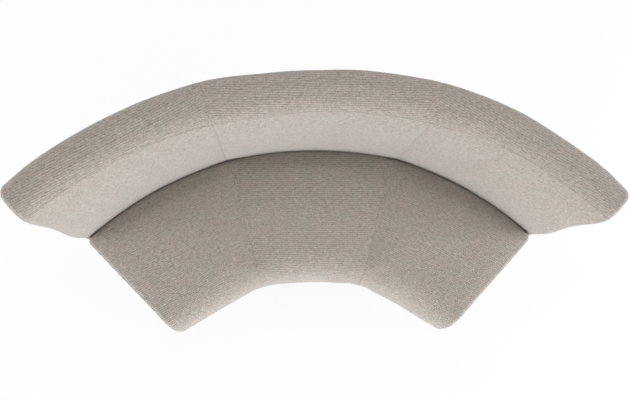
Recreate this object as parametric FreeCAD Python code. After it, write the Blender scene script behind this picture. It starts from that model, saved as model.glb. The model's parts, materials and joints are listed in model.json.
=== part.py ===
# A curved banquette bench in three equal sections: a foam seat and a leaning foam back in sewn cloth,
# on a wooden frame with steel legs. All lengths are in millimetres and all angles in degrees.
# It is drawn about the arc centre, which lies in front of the bench, and moved to its origin at the end.
import FreeCAD
import Part
import math
import os

# Plan of the curve
section_names = ("left", "centre", "right")
section_angle = 28.5
seat_front_distance = 676.0
crease_radius = 1162.0
crease_flatness_share = 0.15
back_flatness_share = 0.11

# Heights and the backrest
base_height = 170.0
seat_height = 450.0
back_height = 830.0
back_thickness = 118.0
back_lean = 13.2

# Form of the seat cushion
seat_crown = 9.0
seat_end_crown_share = 0.45
front_roll = 86.0
front_tuck = 7.0
front_bulge = 3.0
seat_rear_edge = 14.0
front_seam_radius = 220.0

# Form of the backrest
back_face_crown = 10.0
back_top_crown = 3.0
back_outer_crown = 5.0
back_inner_edge = 20.0
back_outer_edge = 15.0

# Seams between sections and rounding of the free ends
seam_dip = 5.0
seam_width = 42.0
seam_gap = 0.6
end_edge = 18.0
seat_corner = 32.0
back_corner = 38.0
seam_step_shares = (0.0, 0.35, 1.0, 2.2)
end_step_shares = (0.0, 0.04, 0.13, 0.3, 0.55, 1.0)
middle_step_shares = (-0.35, 0.0, 0.35)

# Cloth, foam and the gaps between them
cover_thickness = 3.0
layer_gap = 0.3
crease_gap = 0.6
front_padding = 15.0
end_padding = 12.0
back_wadding = 14.0
corner_clearance = 22.0

# Wooden frame
cross_rail_thickness = 45.0
rail_thickness = 25.0
seat_rail_height = 130.0
upright_depth = 44.0
top_rail_height = 22.0
bottom_rail_height = 40.0
back_top_padding = 22.0
inner_panel_thickness = 6.0
outer_panel_thickness = 4.0
joint_gap = 0.3

# Webbing and dust cover
strap_width = 50.0
strap_thickness = 2.0
radial_straps = 5
lateral_straps = 5
strap_hold = 18.0
dust_cover_thickness = 1.0
dust_cover_margin = 6.0

# Legs and levelling feet
leg_plate_inset = 6.0
leg_tube_radius = 16.0
leg_tube_wall = 2.0
leg_plate_length = 110.0
leg_plate_thickness = 4.0
leg_plug_height = 22.0
leg_clearance = 20.0
foot_pad_radius = 21.0
foot_pad_height = 9.0
foot_pad_edge = 2.0
foot_nut_radius = 9.0
foot_nut_sides = 6
foot_stem_radius = 5.0
foot_stem_height = 45.0
stem_clearance = 0.1

# Screws and bolts
screw_radius = 2.5
screw_length = 35.0
screw_head_radius = 5.0
screw_head_height = 2.5
screw_inset = 12.0
bolt_radius = 4.0
bolt_length = 110.0
bolt_head_radius = 8.0
bolt_head_height = 5.0
bolt_inset = 32.0
hole_clearance = 0.1
overrun = 5.0

# Values worked out from the sizes above
half_angle = section_angle / 2
lean_slope = math.tan(math.radians(back_lean))
back_radius = crease_radius + (back_height - seat_height) * lean_slope + back_thickness
mean_radius = (seat_front_distance + crease_radius) / 2
frame_end_angle = half_angle - math.degrees(math.asin(end_padding / seat_front_distance))
frame_front = seat_front_distance + front_padding
rail_top = base_height + seat_rail_height
platform_height = rail_top + 2 * strap_thickness
back_frame_depth = outer_panel_thickness + upright_depth + inner_panel_thickness
back_frame_top = back_height - back_top_padding
upright_top = back_frame_top - top_rail_height
plate_bottom = base_height - dust_cover_thickness - leg_plate_thickness
frame_rear = back_radius - (back_height - base_height) * lean_slope - back_wadding - outer_panel_thickness
upright_relief = frame_rear - math.sqrt(frame_rear ** 2 - cross_rail_thickness ** 2)
end_rail_front = (frame_front + corner_clearance) / math.cos(math.radians(frame_end_angle))
front_leg_radius = end_rail_front + leg_plate_inset + leg_plate_length / 2
rear_leg_radius = frame_rear - leg_plate_inset - leg_plate_length / 2
section_turns = tuple(section_angle * (i - 1) for i in range(len(section_names)))

UP = FreeCAD.Vector(0, 0, 1)
ARC_CENTRE = FreeCAD.Vector(0, 0, 0)


# Points and planes

def polar(radius, angle, height):
    """A point at a radius and a height, on the radial plane at an angle from the +Y axis towards +X."""
    turn = math.radians(angle)
    return FreeCAD.Vector(radius * math.sin(turn), radius * math.cos(turn), height)


def turned(shape, angle):
    """The shape turned about the arc centre, from the +Y axis towards +X."""
    copy = shape.copy()
    copy.rotate(ARC_CENTRE, UP, -angle)
    return copy


def in_plane(points, angle):
    """Profile points (radius, height) on the radial plane at that angle."""
    return [polar(radius, angle, height) for radius, height in points]


def polygon_face(points):
    return Part.Face(Part.makePolygon(list(points) + [points[0]]))


def prism(plan_points, low, high):
    """A straight block with that outline in plan, between two heights."""
    face = polygon_face([FreeCAD.Vector(x, y, low) for x, y in plan_points])
    return face.extrude(UP * (high - low))


def sector(profile, start, end):
    """A profile of (radius, height) points swept about the arc centre between two angles."""
    face = polygon_face(in_plane(profile, end))
    return face.revolve(ARC_CENTRE, UP, end - start)


def leaning_profile(near, far, low, high):
    """A strip between two distances in front of the outer back's surface, which leans as the back does."""
    return [
        (outer_back_radius(low) - near, low),
        (outer_back_radius(low) - far, low),
        (outer_back_radius(high) - far, high),
        (outer_back_radius(high) - near, high),
    ]


def outer_back_radius(height):
    return back_radius - (back_height - height) * lean_slope


def flattened(radius, flatness_share, angle):
    """The radius of a section's arc, drawn a little towards the chord between its two seams."""
    angle = min(abs(angle), half_angle)
    chord = radius * math.cos(math.radians(half_angle)) / math.cos(math.radians(angle))
    return radius * (1 - flatness_share) + chord * flatness_share


# Rounded profiles, which the cushions are lofted through

def corner_arc(before, corner, after, radius):
    """Start, middle and end of the arc that rounds a corner of a profile."""
    to_before = (before - corner).normalize()
    to_after = (after - corner).normalize()
    half = to_before.getAngle(to_after) / 2
    start = corner + to_before * (radius / math.tan(half))
    end = corner + to_after * (radius / math.tan(half))
    centre = corner + (to_before + to_after).normalize() * (radius / math.sin(half))
    middle = centre + (corner - centre).normalize() * radius
    return start, middle, end


def profile_wire(corners, angle):
    """A closed wire on the radial plane at that angle. Each corner is (radius from the arc centre,
    height, rounding, bulge of the edge to the next corner)."""
    count = len(corners)
    flat = [FreeCAD.Vector(radius, height, 0) for radius, height, rounding, bulge in corners]
    arcs = []
    for i, corner in enumerate(corners):
        if corner[2]:
            arcs.append(corner_arc(flat[i - 1], flat[i], flat[(i + 1) % count], corner[2]))
        else:
            arcs.append((flat[i], None, flat[i]))
    edges = []
    for i, corner in enumerate(corners):
        start, middle, end = arcs[i]
        if middle:
            edges.append(arc_edge(start, middle, end, angle))
        following = arcs[(i + 1) % count][0]
        if corner[3]:
            along = (following - end).normalize()
            outward = FreeCAD.Vector(along.y, -along.x, 0)
            edges.append(arc_edge(end, (end + following) / 2 + outward * corner[3], following, angle))
        else:
            edges.append(Part.makeLine(polar(end.x, angle, end.y), polar(following.x, angle, following.y)))
    return Part.Wire(edges)


def arc_edge(start, middle, end, angle):
    return Part.Arc(*in_plane([(point.x, point.y) for point in (start, middle, end)], angle)).toShape()


def rounding_inset(radius, distance):
    """How far a rounded end lies inside its sharp edge, at a distance from the end."""
    if distance >= radius:
        return 0.0
    return radius - math.sqrt(radius ** 2 - (radius - distance) ** 2)


def seam_drop(distance):
    """How far the cloth is drawn in beside a seam."""
    if distance >= seam_width:
        return 0.0
    return seam_dip * (1 - max(distance, 0.0) / seam_width) ** 2


def distance_angle(distance):
    return math.degrees(distance / mean_radius)


class Layer:
    """One skin of a section's cushion: its sides, and how deep it lies under the outer cloth."""

    def __init__(self, section, depth, bottom, seam_margin):
        self.depth = depth
        self.bottom = bottom
        self.ends = is_free(section)
        self.seam_margin = seam_margin

    def side_angle(self, is_end):
        margin = self.depth if is_end else self.seam_margin
        return half_angle - distance_angle(margin)

    def stations(self, corner):
        """The angles of the profiles, closer together at the seams and at a rounded end."""
        angles = [share * section_angle for share in middle_step_shares]
        for direction, is_end in zip((-1, 1), self.ends):
            side = self.side_angle(is_end)
            shares = end_step_shares if is_end else seam_step_shares
            reach = corner if is_end else seam_width
            angles += [direction * (side - distance_angle(share * reach)) for share in shares]
        return sorted(angles)

    def end_inset(self, angle, radius):
        """The inset at an angle that rounds the free ends by that radius."""
        inset = 0.0
        for direction, is_end in zip((-1, 1), self.ends):
            if is_end:
                beyond = self.side_angle(True) - direction * angle
                distance = max(math.radians(beyond) * mean_radius, 0.0)
                inset += rounding_inset(radius - self.depth, distance)
        return inset

    def seam_inset(self, angle):
        inset = 0.0
        for direction, is_end in zip((-1, 1), self.ends):
            if not is_end:
                inset += seam_drop(math.radians(half_angle - direction * angle) * mean_radius)
        return inset


def loft(layer, corner, profile):
    wires = [profile_wire(profile(layer, angle), angle) for angle in layer.stations(corner)]
    return Part.makeLoft(wires, True, False)


def front_radius(layer, angle):
    """The seat's front line: a straight chord, eased into the next section's chord at a seam."""
    is_end = layer.ends[0] if angle < 0 else layer.ends[1]
    turn = math.radians(min(abs(angle), half_angle))
    half = math.radians(half_angle)
    chord = seat_front_distance / math.cos(turn)
    centre = (seat_front_distance - front_seam_radius) / math.cos(half)
    eased_from = math.atan(centre * math.sin(half) / seat_front_distance)
    if is_end or turn <= eased_from:
        return chord
    return centre * math.cos(half - turn) + math.sqrt(
        front_seam_radius ** 2 - (centre * math.sin(half - turn)) ** 2
    )


def crown_share(layer, angle):
    """The crown is full in the middle of a section and lower towards its sides."""
    return 1 - (1 - seat_end_crown_share) * min(abs(angle) / half_angle, 1.0) ** 2


def seat_profile(layer, angle):
    front = front_radius(layer, angle) + layer.depth + layer.end_inset(angle, seat_corner)
    front += layer.seam_inset(angle) / 2
    top = seat_height - layer.depth - layer.end_inset(angle, end_edge) - layer.seam_inset(angle)
    rear_top = flattened(crease_radius, crease_flatness_share, angle) - crease_gap - layer.depth
    rear_top -= layer.end_inset(angle, end_edge) / 2
    rear_bottom = rear_top - (seat_height - layer.bottom) * lean_slope
    rear_top -= (seat_height - top) * lean_slope
    crown = seat_crown * crown_share(layer, angle)
    return [
        (rear_bottom, layer.bottom, 0.0, 0.0),
        (rear_top, top, seat_rear_edge, crown),
        (front, top, front_roll - layer.depth, front_bulge),
        (front + front_tuck, layer.bottom, 0.0, 0.0),
    ]


def back_profile(layer, angle):
    side = layer.end_inset(angle, end_edge) / 2 + layer.seam_inset(angle) / 2
    top = back_height - layer.depth - layer.end_inset(angle, end_edge) - layer.seam_inset(angle) / 2
    crease = flattened(crease_radius, crease_flatness_share, angle) + layer.depth + side
    outer = flattened(back_radius, back_flatness_share, angle) - layer.depth
    outer -= layer.end_inset(angle, back_corner) + layer.seam_inset(angle) / 3
    rise = (top - seat_height) * lean_slope
    fall = (back_height - layer.bottom) * lean_slope
    return [
        (crease - (seat_height - layer.bottom) * lean_slope, layer.bottom, 0.0, 0.0),
        (crease, seat_height, 0.0, back_face_crown * crown_share(layer, angle)),
        (crease + rise, top, back_inner_edge - layer.depth, back_top_crown),
        (outer - (back_height - top) * lean_slope, top, back_outer_edge - layer.depth, back_outer_crown),
        (outer - fall, layer.bottom, 0.0, 0.0),
    ]


# Spaces that the frame takes inside the cushions

def frame_side(is_end):
    """The angle that the frame's space reaches to: past a seam, and short of a free end."""
    return frame_end_angle if is_end else half_angle + distance_angle(overrun)


def side_x(distance, angle, offset):
    """Where a board, at a distance from the arc centre, meets a plane beside the radial plane."""
    turn = math.radians(angle)
    return distance * math.tan(turn) - offset / math.cos(turn)


def seat_pocket(section):
    """The space for the seat frame and webbing, open below and behind."""
    left = []
    right = []
    for side, direction, is_end in zip((left, right), (-1, 1), is_free(section)):
        angle = frame_side(is_end)
        front_corner = (direction * side_x(frame_front, angle, 0.0), frame_front)
        if is_end:
            behind = frame_front + corner_clearance
            side.append((front_corner[0] - direction * corner_clearance, frame_front))
            side.append((direction * side_x(behind, angle, 0.0), behind))
        else:
            side.append(front_corner)
        side.append((direction * side_x(back_radius, angle, 0.0), back_radius))
    return prism(left[::-1] + right, base_height - overrun, platform_height)


def back_pocket(section):
    """The space for the back frame and, below the seat's platform, for the seat frame's rear."""
    start, end = (direction * frame_side(is_end) for direction, is_end in zip((-1, 1), is_free(section)))
    low = base_height - overrun
    frame_space = leaning_profile(back_wadding, back_wadding + back_frame_depth, low, back_frame_top)
    seat_space = leaning_profile(back_wadding, back_radius / 2, low, platform_height)
    return sector(frame_space, start, end).fuse(sector(seat_space, start, end))


# Upholstery

def cushion(section, corner, profile, pocket):
    """The foam and the sewn cover of one section's seat or back."""
    foam_layer = Layer(section, cover_thickness + layer_gap, base_height, seam_gap / 2)
    outer_layer = Layer(section, 0.0, base_height, seam_gap / 2)
    inner_layer = Layer(section, cover_thickness, base_height - overrun, -overrun)
    foam = loft(foam_layer, corner, profile).cut(pocket)
    cover = loft(outer_layer, corner, profile).cut([loft(inner_layer, corner, profile), pocket])
    return foam, cover


# Wooden frame, each piece drawn in its section with the section's axis along +Y

def board(near, far, low, high, section, side_offsets):
    """A straight board across a section, with its ends cut to the cross rails beside it."""
    near_left, near_right = side_limits(near, section, side_offsets)
    far_left, far_right = side_limits(far, section, side_offsets)
    return prism([(near_left, near), (near_right, near), (far_right, far), (far_left, far)], low, high)


def side_limits(distance, section, side_offsets):
    """Where a board, at a distance from the arc centre, ends on the left and on the right."""
    limits = []
    for direction, is_end in zip((-1, 1), is_free(section)):
        limits.append(direction * side_x(distance, side_line(is_end), side_offsets[is_end]))
    return limits


def side_line(is_end):
    """The angle of the radial line that carries a section's side."""
    return frame_end_angle if is_end else half_angle


def is_free(section):
    """Whether the section's left and right sides are free ends."""
    return section == 0, section == len(section_names) - 1


def rail_offsets():
    """How far the cross rails reach into a section: half of one at a seam, all of one at a free end."""
    return cross_rail_thickness / 2 + joint_gap, cross_rail_thickness + joint_gap


def front_rail(section):
    return board(frame_front, frame_front + rail_thickness, base_height, rail_top, section, rail_offsets())


def rear_rail_face():
    """The rear rail's back face lies just in front of the uprights' foot."""
    return (frame_rear - upright_depth) * math.cos(math.radians(half_angle)) - joint_gap


def rear_rail(section):
    far = rear_rail_face()
    return board(far - rail_thickness, far, base_height, rail_top, section, rail_offsets())


def rib(profile, line_angle, inward):
    """A board of the cross rail's thickness in a radial plane, moved inward by that much."""
    points = [FreeCAD.Vector(inward - cross_rail_thickness / 2, r, z) for r, z in profile]
    solid = polygon_face(points).extrude(FreeCAD.Vector(cross_rail_thickness, 0, 0))
    return turned(solid, line_angle)


def radial_lines():
    """The four lines that carry the frame: name, angle, whether it is a free end, and how far the
    middle of its boards lies from the line: on it at a seam, inside it at an end."""
    end = section_angle + frame_end_angle
    inward = cross_rail_thickness / 2
    return (
        ("left_end", -end, True, inward),
        ("left_seam", -half_angle, False, 0.0),
        ("right_seam", half_angle, False, 0.0),
        ("right_end", end, True, -inward),
    )


def upright_front(height):
    return outer_back_radius(height) - back_wadding - outer_panel_thickness - upright_depth


def cross_rail_profile(is_end):
    if is_end:
        front = end_rail_front
    else:
        side = cross_rail_thickness / 2 * math.sin(math.radians(half_angle))
        front = (frame_front + side) / math.cos(math.radians(half_angle))
    return [
        (front, base_height),
        (upright_front(base_height), base_height),
        (upright_front(rail_top), rail_top),
        (front, rail_top),
    ]


def upright_profile():
    """The upright's flat rear edge lies a little inside the curved outer panel."""
    return leaning_profile(
        back_wadding + outer_panel_thickness + upright_relief,
        back_wadding + outer_panel_thickness + upright_depth,
        base_height,
        upright_top,
    )


def back_sector(section, near, far, low, high, side_offset):
    """A curved piece of the back frame, which ends at the seams or leaves room for the uprights."""
    profile = leaning_profile(back_wadding + near, back_wadding + far, low, high)
    inner = min(radius for radius, height in profile)
    angles = []
    for is_end in is_free(section):
        offset = (2 * side_offset if is_end else side_offset) + joint_gap
        angles.append(side_line(is_end) - math.degrees(math.asin(offset / inner)))
    return sector(profile, -angles[0], angles[1])


def top_rail(section):
    near = outer_panel_thickness
    return back_sector(section, near, near + upright_depth, upright_top, back_frame_top, 0.0)


def bottom_rail(section):
    near = outer_panel_thickness
    top = base_height + bottom_rail_height
    return back_sector(section, near, near + upright_depth, base_height, top, cross_rail_thickness / 2)


def inner_panel(section):
    near = outer_panel_thickness + upright_depth
    return back_sector(section, near, near + inner_panel_thickness, platform_height, back_frame_top, 0.0)


def outer_panel(section):
    return back_sector(section, 0.0, outer_panel_thickness, base_height, back_frame_top, 0.0)


def webbing(section):
    """Straps from front to back, and straps across on top of them."""
    near = frame_front
    far = rear_rail_face()
    low = rail_top
    hold = (cross_rail_thickness / 2 - strap_hold, cross_rail_thickness - strap_hold)
    left_limit, right_limit = side_limits(near, section, rail_offsets())
    spare = (right_limit - left_limit - radial_straps * strap_width) / (radial_straps + 1)
    straps = []
    for i in range(radial_straps):
        x = left_limit + spare + i * (strap_width + spare)
        corner = FreeCAD.Vector(x, near, low)
        straps.append(Part.makeBox(strap_width, far - near, strap_thickness, corner))
    room = far - near - 2 * rail_thickness
    spare = (room - lateral_straps * strap_width) / (lateral_straps + 1)
    for i in range(lateral_straps):
        start = near + rail_thickness + spare + i * (strap_width + spare)
        straps.append(board(start, start + strap_width, low + strap_thickness, platform_height, section, hold))
    return Part.makeCompound(straps)


def dust_cover():
    """One sheet under the whole frame, just inside the cloth's lower edge."""
    reach = seat_front_distance + front_tuck + dust_cover_margin
    outer = outer_back_radius(base_height) - dust_cover_margin
    low = base_height - dust_cover_thickness
    profile = [(reach / 2, low), (outer, low), (outer, base_height), (reach / 2, base_height)]
    in_front = [(-reach, 0.0), (reach, 0.0), (reach, reach), (-reach, reach)]
    hollow = prism(in_front, low - overrun, base_height + overrun)
    sheets = []
    for section, turn in enumerate(section_turns):
        left, right = (side_line(is_end) for is_end in is_free(section))
        sheets.append(turned(sector(profile, -left, right).cut(hollow), turn))
    return sheets[0].fuse(sheets[1:]).removeSplitter()


# Legs, feet and fasteners, drawn on the +Y axis and turned to their radial line

def line_places():
    """Every leg's place: its name, its angle, and its centre before the turn."""
    places = []
    for name, angle, is_end, inward in radial_lines():
        for row, radius in (("front", front_leg_radius), ("rear", rear_leg_radius)):
            places.append((f"{row}_{name}", angle, FreeCAD.Vector(inward, radius, 0)))
    return places


def cylinder(centre, low, high, radius):
    return Part.makeCylinder(radius, high - low, FreeCAD.Vector(centre.x, centre.y, low))


def screw_places(centre):
    across = cross_rail_thickness / 2 - screw_inset
    along = leg_plate_length / 2 - screw_inset
    offsets = [(x, y) for x in (-across, across) for y in (-along, along)]
    return [centre + FreeCAD.Vector(x, y, 0) for x, y in offsets]


def leg(centre):
    """A tube with a screwed-on plate above and a threaded plug below, welded into one piece."""
    top = base_height - dust_cover_thickness
    corner = centre - FreeCAD.Vector(cross_rail_thickness / 2, leg_plate_length / 2, -plate_bottom)
    plate = Part.makeBox(cross_rail_thickness, leg_plate_length, leg_plate_thickness, corner)
    tube = cylinder(centre, leg_clearance, plate_bottom, leg_tube_radius)
    inside = cylinder(centre, leg_clearance + leg_plug_height, plate_bottom, leg_tube_radius - leg_tube_wall)
    bore = cylinder(centre, leg_clearance - overrun, plate_bottom, foot_stem_radius + stem_clearance)
    holes = [cylinder(place, plate_bottom - overrun, top + overrun, screw_radius + hole_clearance)
             for place in screw_places(centre)]
    return plate.cut(holes).fuse(tube.cut([inside, bore])).removeSplitter()


def foot(centre):
    """A levelling foot: a round pad, a nut to turn it by, and a threaded stem."""
    pad = cylinder(centre, 0.0, foot_pad_height, foot_pad_radius)
    rims = [edge for edge in pad.Edges if len(edge.Vertexes) == 1 and edge.CenterOfMass.z > foot_pad_edge]
    pad = pad.makeFillet(foot_pad_edge, rims)
    turns = [2 * math.pi * i / foot_nut_sides for i in range(foot_nut_sides)]
    corners = [(centre.x + foot_nut_radius * math.sin(turn), centre.y + foot_nut_radius * math.cos(turn))
               for turn in turns]
    nut = prism(corners, foot_pad_height, leg_clearance - joint_gap)
    stem = cylinder(centre, foot_pad_height, foot_stem_height, foot_stem_radius)
    return pad.fuse([nut, stem]).removeSplitter()


def leg_screw(place):
    tip = plate_bottom + screw_length
    head = cylinder(place, plate_bottom - screw_head_height, plate_bottom, screw_head_radius)
    return head.fuse(cylinder(place, plate_bottom, tip, screw_radius)).removeSplitter()


def bolt_heights():
    return base_height + bolt_inset, rail_top - bolt_inset


def radial_cylinder(inward, height, near, far, radius):
    start = FreeCAD.Vector(inward, near, height)
    return Part.makeCylinder(radius, far - near, start, FreeCAD.Vector(0, 1, 0))


def bolt_span(height):
    """Where a frame bolt's head seats, in a counterbore in the upright's rear edge, and where it ends."""
    rear = outer_back_radius(height) - back_wadding - outer_panel_thickness
    seat = rear - 2 * bolt_head_height
    return seat - bolt_length, seat, rear


def frame_bolt(inward, height):
    tip, seat, rear = bolt_span(height)
    head = radial_cylinder(inward, height, seat, seat + bolt_head_height, bolt_head_radius)
    return head.fuse(radial_cylinder(inward, height, tip, seat, bolt_radius)).removeSplitter()


def bolt_hole(inward, height):
    tip, seat, rear = bolt_span(height)
    shank = radial_cylinder(inward, height, tip - hole_clearance, rear, bolt_radius + hole_clearance)
    return shank.fuse(radial_cylinder(inward, height, seat, rear + overrun, bolt_head_radius + hole_clearance))


# The whole bench, as one shape for each named piece

def screw_holes():
    """Pilot holes for all the leg screws, in the rails and the dust cover."""
    low = base_height - dust_cover_thickness - overrun
    holes = []
    for name, angle, centre in line_places():
        for place in screw_places(centre):
            tip = plate_bottom + screw_length + hole_clearance
            holes.append(turned(cylinder(place, low, tip, screw_radius + hole_clearance), angle))
    return holes


def upholstery_and_section_parts():
    parts = {}
    for section, name in enumerate(section_names):
        seat_foam, seat_cover = cushion(section, seat_corner, seat_profile, seat_pocket(section))
        back_foam, back_cover = cushion(section, back_corner, back_profile, back_pocket(section))
        pieces = {
            "seat_cover": seat_cover,
            "seat_foam": seat_foam,
            "back_cover": back_cover,
            "back_foam": back_foam,
            "seat_webbing": webbing(section),
            "seat_front_rail": front_rail(section),
            "seat_rear_rail": rear_rail(section),
            "back_top_rail": top_rail(section),
            "back_bottom_rail": bottom_rail(section),
            "back_inner_panel": inner_panel(section),
            "back_outer_panel": outer_panel(section),
        }
        for piece, shape in pieces.items():
            parts[f"{piece}_{name}"] = turned(shape, section_turns[section])
    return parts


def frame_ribs():
    """The cross rail and the upright on each radial line, drilled for their bolts and screws."""
    parts = {}
    bolts = []
    screw_cuts = screw_holes()
    for name, angle, is_end, inward in radial_lines():
        holes = [turned(bolt_hole(inward, height), angle) for height in bolt_heights()]
        bolts += [turned(frame_bolt(inward, height), angle) for height in bolt_heights()]
        rail = rib(cross_rail_profile(is_end), angle, inward)
        parts[f"seat_cross_rail_{name}"] = rail.cut(holes + screw_cuts)
        upright = rib(upright_profile(), angle, inward)
        parts[f"back_upright_{name}"] = upright.cut(holes + screw_cuts)
    parts["frame_bolts"] = Part.makeCompound(bolts)
    return parts


def underside_parts():
    parts = {"dust_cover": dust_cover().cut(screw_holes())}
    screws = []
    for name, angle, centre in line_places():
        parts[f"leg_{name}"] = turned(leg(centre), angle)
        parts[f"levelling_foot_{name}"] = turned(foot(centre), angle)
        screws += [turned(leg_screw(place), angle) for place in screw_places(centre)]
    parts["leg_screws"] = Part.makeCompound(screws)
    return parts


def main():
    parts = {}
    parts.update(upholstery_and_section_parts())
    parts.update(frame_ribs())
    parts.update(underside_parts())
    covers = Part.makeCompound([shape for name, shape in parts.items() if "cover" in name])
    box = covers.optimalBoundingBox()
    origin = FreeCAD.Vector(box.Center.x, box.Center.y, 0)
    os.makedirs("parts", exist_ok=True)
    for name, shape in parts.items():
        shape.translate(-origin)
        shape.exportStep(f"parts/{name}.step")
    print(f"{len(parts)} pieces, arc centre at Y {-origin.y:.2f}, X {-origin.x:.2f}")


main()
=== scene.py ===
"""A curved banquette bench: sewn cloth over foam, in three sections, on a wooden frame with steel legs.
Lengths are in metres and angles in radians. Sizes, places, angles and shares have small names, and tables,
counts and settings have names in capitals."""
import json
import math
from types import SimpleNamespace

import bmesh
import bpy
import numpy as np
from mathutils import Matrix, Vector


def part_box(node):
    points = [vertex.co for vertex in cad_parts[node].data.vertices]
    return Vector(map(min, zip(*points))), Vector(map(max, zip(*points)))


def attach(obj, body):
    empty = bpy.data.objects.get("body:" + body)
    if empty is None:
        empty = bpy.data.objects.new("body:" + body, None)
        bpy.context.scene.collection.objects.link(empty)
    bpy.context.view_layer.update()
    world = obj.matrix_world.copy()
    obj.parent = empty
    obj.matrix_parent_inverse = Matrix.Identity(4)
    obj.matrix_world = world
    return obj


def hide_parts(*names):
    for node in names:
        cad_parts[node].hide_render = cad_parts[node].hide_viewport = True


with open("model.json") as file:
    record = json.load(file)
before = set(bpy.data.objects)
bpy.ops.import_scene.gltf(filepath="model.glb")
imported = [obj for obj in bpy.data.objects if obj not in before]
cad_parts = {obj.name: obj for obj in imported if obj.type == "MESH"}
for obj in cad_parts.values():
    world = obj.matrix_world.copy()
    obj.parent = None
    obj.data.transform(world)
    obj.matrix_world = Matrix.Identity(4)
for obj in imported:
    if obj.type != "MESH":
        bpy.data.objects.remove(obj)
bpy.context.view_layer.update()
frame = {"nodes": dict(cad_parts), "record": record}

MM = 0.001
SECTIONS = ("left", "centre", "right")

# Sizes of the frame that the cloth is fitted to
seat_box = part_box("seat_cover_centre")
back_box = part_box("back_cover_centre")
base_height = seat_box[0].z
back_height = back_box[1].z

# Plan of the curve, as the construction has it
section_angle = math.radians(28.5)
half_angle = section_angle / 2
seat_front_distance = 676 * MM
crease_radius = 1162 * MM
crease_flatness_share = 0.15
back_flatness_share = 0.11
seat_height = 450 * MM
back_thickness = 118 * MM
lean_slope = math.tan(math.radians(13.2))
back_radius = crease_radius + (back_height - seat_height) * lean_slope + back_thickness

# Form of the cushions
seat_crown = 4 * MM
seat_end_crown_share = 0.45
front_roll = 92 * MM
front_tuck = 7 * MM
front_bulge = 1 * MM
seat_rear_edge = 14 * MM
front_seam_radius = 220 * MM
back_face_crown = 5 * MM
back_top_crown = 4 * MM
back_outer_crown = 4 * MM
back_inner_edge = 66 * MM
back_outer_edge = 15 * MM
brow_drop = 105 * MM
brow_lean = 8 * MM
brow_rounding = 800 * MM
lumbar_depth = 6 * MM
lumbar_height = 530 * MM
lumbar_reach = 75 * MM
cloth_thickness = 2.5 * MM

# Lower edge: the cloth turns in under the frame
hem_edge = 2.5 * MM
hem_drop = 0.6 * MM
hem_overlap = 14 * MM
end_hem = 24 * MM
base_reach = 30 * MM
hem_height = base_height - hem_drop

# Seams: a shallow valley in the padding, and a narrow groove where the panels are sewn
seam_gap = 0.06 * MM
crease_gap = 2 * MM
valley_depth = 1.2 * MM
valley_width = 22 * MM
seat_groove_depth = 0.8 * MM
back_groove_depth = 0.18 * MM
groove_width = 1.2 * MM
end_seam_distance = 6 * MM
end_groove_depth = 2 * MM
end_groove_width = 1.9 * MM

# Pull of the stitches: an uneven wave along a seam, as three waves of pitch, height and phase
pucker_height = 0.35 * MM
pucker_pitch = 17 * MM
pucker_reach = 16 * MM
WAVE_SHARES = ((1, 1, 1), (0.618, 0.6, 2.1), (2.3, 0.4, 0.7))

# The padding is laid by hand, so its lines wander. Each pair is a place round the bench, in sections from
# the middle, and how far the line lies off there, as a share of the drift
line_drift = 10 * MM
FRONT_DRIFT_SHARES = ((-1.5, -0.3), (-0.95, 0.2), (-0.5, -0.1), (0, 0.9), (0.45, -0.4), (0.9, -0.2),
                      (1.5, -1.4))
CREASE_DRIFT_SHARES = ((-1.5, -0.8), (-0.9, -0.2), (0, 0), (0.8, 0.3), (1.5, 0))
CREASE_GAP_SHARES = ((-1.5, 1), (-1.1, 1), (-0.5, 0.5), (0.3, 0.4), (1, 1.2), (1.5, 1.2))
FOLD_DRIFT_SHARES = ((-1.5, -0.2), (-0.9, -0.6), (-0.3, -2), (0.1, -1.2), (0.5, -1.2), (0.9, 0.4), (1.5, 0.2))
OUTER_DRIFT_SHARES = ((-1.5, -0.3), (-0.8, -0.2), (-0.5, -0.4), (-0.14, -1.2), (0.2, -0.4), (0.85, 0.4),
                      (1.15, -0.2), (1.5, -0.2))
seam_drift = math.radians(1)
SEAT_SEAM_DRIFT_SHARES = ((-1.5, 0), (-0.5, -1.05), (0.5, -1.2), (1.5, 0))
BACK_SEAM_DRIFT_SHARES = ((-1.5, 0), (-0.5, -1.4), (0.5, -0.2), (1.5, 0))

# Free ends: rounding on top, at the seat's corners and at the outer back's corner
end_edge = 16 * MM
seat_corner = 20 * MM
seat_rear_corner = 18 * MM
back_corner = 26 * MM
end_seat_rear_edge = 21 * MM
end_back_outer_edge = 29 * MM
end_edge_reach = 70 * MM
tight_edge = 3 * MM
tight_reach = 40 * MM

# Free ends: how far their panels stand out, and how far the corners are drawn in, on the left and the right
end_panel_crown = 3 * MM
end_swell_reach = 90 * MM
end_swell_low = 6 * MM
end_swell_high = (6 * MM, 12 * MM)
outer_draw = (16 * MM, 3 * MM)
seat_swell = 7 * MM
seat_swell_reach = 75 * MM
ACROSS_ROUNDNESS = 4
UP_ROUNDNESS = 6

# Grid of an end panel: rings from its outline to its pole, and the least turn from spoke to spoke
CAP_RINGS = 30
spoke_turn = 0.0008

# Cloth simulation of the padding
simulation_step = 12 * MM
simulation_cap = 5 * MM
SIMULATION_PRESSURE = 2.0
SIMULATION_FRAMES = 20
SIMULATION_QUALITY = 5
CLOTH_MASS = 0.4
CLOTH_STIFFNESS = 400
CLOTH_BENDING = 5
cloth_ease_share = 0.001


def arc_centre():
    """The point that the sections are set out from: where the lines through the legs meet."""
    places = []
    for row in ("front", "rear"):
        low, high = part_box(f"leg_{row}_right_seam")
        places.append((low + high) / 2)
    near, far = places
    return Vector((0, near.y - near.x * (far.y - near.y) / (far.x - near.x), 0))


curve_centre = arc_centre()

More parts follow.
